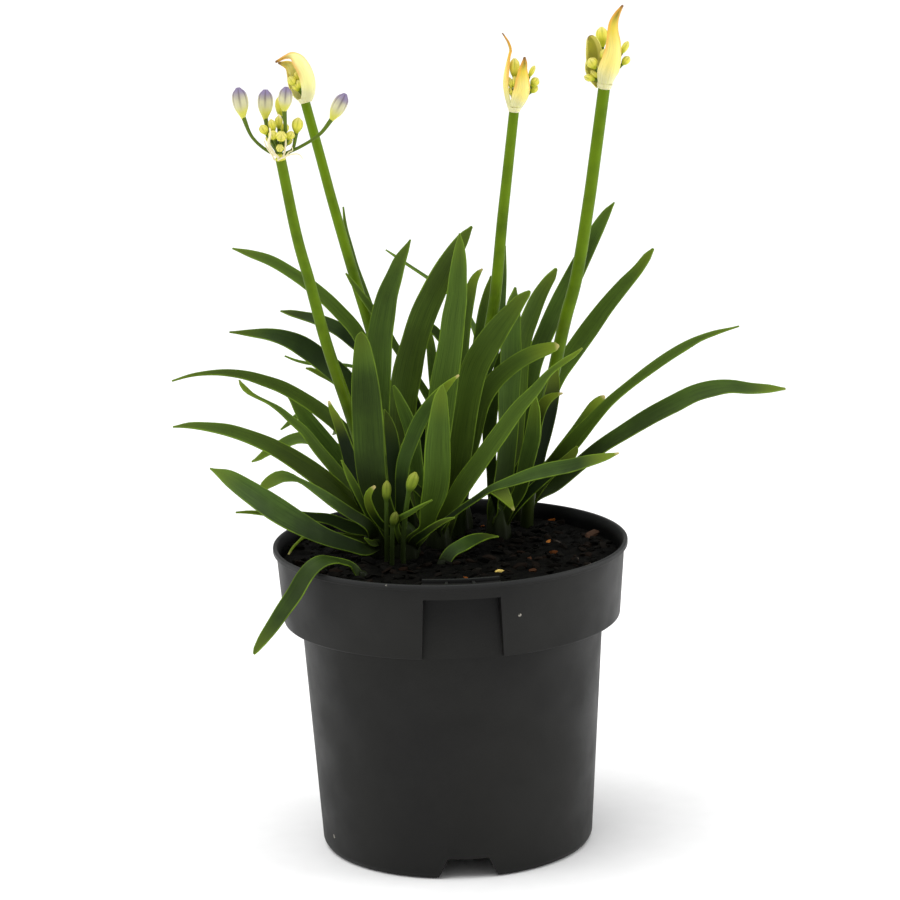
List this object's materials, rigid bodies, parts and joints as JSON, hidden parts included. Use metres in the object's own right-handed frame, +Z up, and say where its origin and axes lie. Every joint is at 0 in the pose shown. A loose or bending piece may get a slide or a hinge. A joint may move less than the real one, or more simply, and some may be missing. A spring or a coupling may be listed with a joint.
{
  "type": "agapanthus plant in a nursery pot",
  "caption": "Agapanthus in bud in a round nursery pot: strap leaves in dense shoots, tall bare flower stems with papery sheaths and an opening umbel of buds.",
  "frame": {"origin": "centre of the pot's underside, on the plane it stands on", "axes": "+Z up along the pot's axis; -Y is the plant's front, where the pot's label panel faces, turned 4 degrees towards +X; +X is to the right seen from the front"},
  "size_m": [0.3552, 0.2704, 0.4785],
  "materials": {
    "pot": "matt dark grey moulded plastic, slightly scuffed",
    "soil": null,
    "leaf": null,
    "flower_stem": null,
    "young_bud": null,
    "spathe": "thin pale yellow papery sheath with an orange margin",
    "green_bud": null,
    "lilac_bud": null
  },
  "bodies": {
    "root": {"pot": "pot", "soil": "soil", "shoot_left": "leaf", "shoot_front": "leaf", "shoot_back_left": "leaf", "shoot_middle": "leaf", "shoot_back": "leaf", "shoot_front_right": "leaf", "shoot_right": "leaf", "side_shoot_over_rim": "leaf", "side_shoot_low": "leaf", "flower_stem_1": "flower_stem", "flower_stem_2": "flower_stem", "flower_stem_3": "flower_stem", "flower_stem_4": "flower_stem", "young_stem_1": "young_bud", "young_stem_2": "young_bud", "young_stem_3": "young_bud", "spathe_2": "spathe", "buds_2": "green_bud", "spathe_3": "spathe", "buds_3": "green_bud", "spathe_4": "spathe", "buds_4": "green_bud", "umbel_1": "lilac_bud"}
  },
  "joints": []
}
